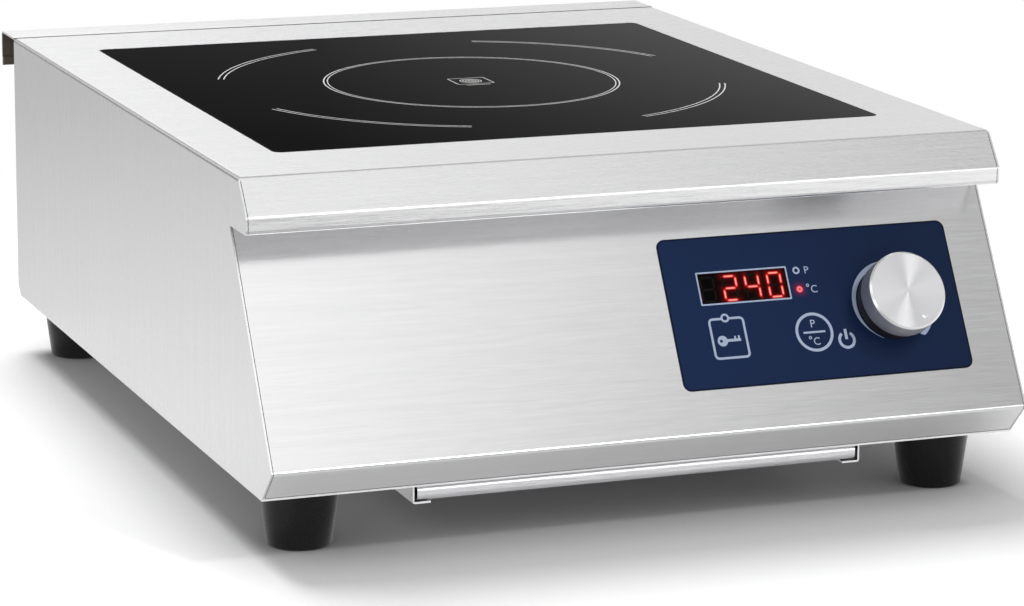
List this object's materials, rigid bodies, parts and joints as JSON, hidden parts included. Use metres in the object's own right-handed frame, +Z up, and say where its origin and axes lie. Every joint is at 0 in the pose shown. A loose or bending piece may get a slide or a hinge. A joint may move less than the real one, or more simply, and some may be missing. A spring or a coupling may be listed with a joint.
{
  "type": "induction hob",
  "caption": "Countertop induction hob with a sloped control panel, digital display, rotary knob, flush glass surface and slide-out air filter.",
  "frame": {"origin": "on the table, under the middle of the object's bounding box", "axes": "+X to the right seen from the front, -Y towards the cook, +Z up"},
  "size_m": [0.4, 0.5154, 0.182],
  "materials": {
    "brushed_stainless": "brushed",
    "zinc_sheet": "satin",
    "glass_ceramic": "polished black glass-ceramic",
    "silicone_black": "matt",
    "overlay_film": "satin printed film",
    "tinted_window": "gloss",
    "display_black": "matt",
    "led_red": "clear",
    "circuit_board": "solder mask",
    "copper_litz": "enamelled",
    "nylon_white": "moulded",
    "nylon_black": "moulded",
    "ferrite": "sintered",
    "mica": "laminate",
    "steel_plated": "zinc plated",
    "aluminium_turned": "turned",
    "aluminium_filter": "rolled",
    "rubber_foot": "moulded",
    "brass": "turned"
  },
  "bodies": {
    "housing": {"outer_casing": "brushed_stainless", "front_panel": "brushed_stainless", "base_plate": "brushed_stainless", "rear_panel": "brushed_stainless", "rear_deflector": "brushed_stainless", "casing_screws": "steel_plated", "hood_screws": "steel_plated", "glass_plate": "glass_ceramic", "glass_seal": "silicone_black", "glass_ledge": "zinc_sheet", "induction_coil": "copper_litz", "coil_carrier": "nylon_white", "ferrite_bars": "ferrite", "mica_sheet": "mica", "temperature_sensor": "nylon_white", "coil_posts": "steel_plated", "coil_springs": "steel_plated", "control_overlay": "overlay_film", "display_window": "tinted_window", "display_module": "display_black", "indicator_leds": "led_red", "control_board": "circuit_board", "board_standoffs": "steel_plated", "lock_switch": "nylon_black", "mode_switch": "nylon_black", "knob_regulator": "zinc_sheet", "regulator_nut": "steel_plated", "fan_housing": "nylon_black", "filter_rail_left": "brushed_stainless", "filter_rail_right": "brushed_stainless", "foot_front_left": "rubber_foot", "foot_front_right": "rubber_foot", "foot_rear_left": "rubber_foot", "foot_rear_right": "rubber_foot", "foot_screws": "steel_plated", "foot_nuts": "steel_plated", "power_board": "circuit_board", "power_standoffs": "nylon_white", "power_transistors": "nylon_black", "heat_sink": "aluminium_turned", "choke_coil": "copper_litz", "film_capacitors": "nylon_white", "cable_gland": "nylon_black", "gland_nut": "nylon_black", "terminal_block": "nylon_white"},
    "knob": {"knob_cap": "aluminium_turned", "knob_insert": "nylon_black", "knob_shaft": "brass"},
    "fan_rotor": {"fan_impeller": "nylon_black"},
    "air_filter": {"filter_frame": "aluminium_filter", "filter_mesh": "aluminium_filter"},
    "lock_button": {"lock_key": "nylon_white"},
    "mode_button": {"mode_key": "nylon_white"}
  },
  "joints": [
    {"name": "knob_turn", "type": "hinge", "parent": "housing", "child": "knob", "pos_m": [0.1377, -0.22748, 0.10015], "axis": [0, -0.859, 0.512], "range_deg": [0, 290]},
    {"name": "fan_spin", "type": "hinge", "parent": "housing", "child": "fan_rotor", "pos_m": [0, -0.11027, 0.033], "axis": [0, 0, 1], "continuous": true},
    {"name": "filter_slide", "type": "slide", "parent": "housing", "child": "air_filter", "axis": [0, -1, 0], "range_m": [0, 0.25]},
    {"name": "lock_key_press", "type": "slide", "parent": "housing", "child": "lock_button", "axis": [0, 0.859, -0.512], "range_m": [0, 0.0003], "stiffness_N_per_m": 1500, "springref_m": -0.0002},
    {"name": "mode_key_press", "type": "slide", "parent": "housing", "child": "mode_button", "axis": [0, 0.859, -0.512], "range_m": [0, 0.0003], "stiffness_N_per_m": 1500, "springref_m": -0.0002}
  ]
}
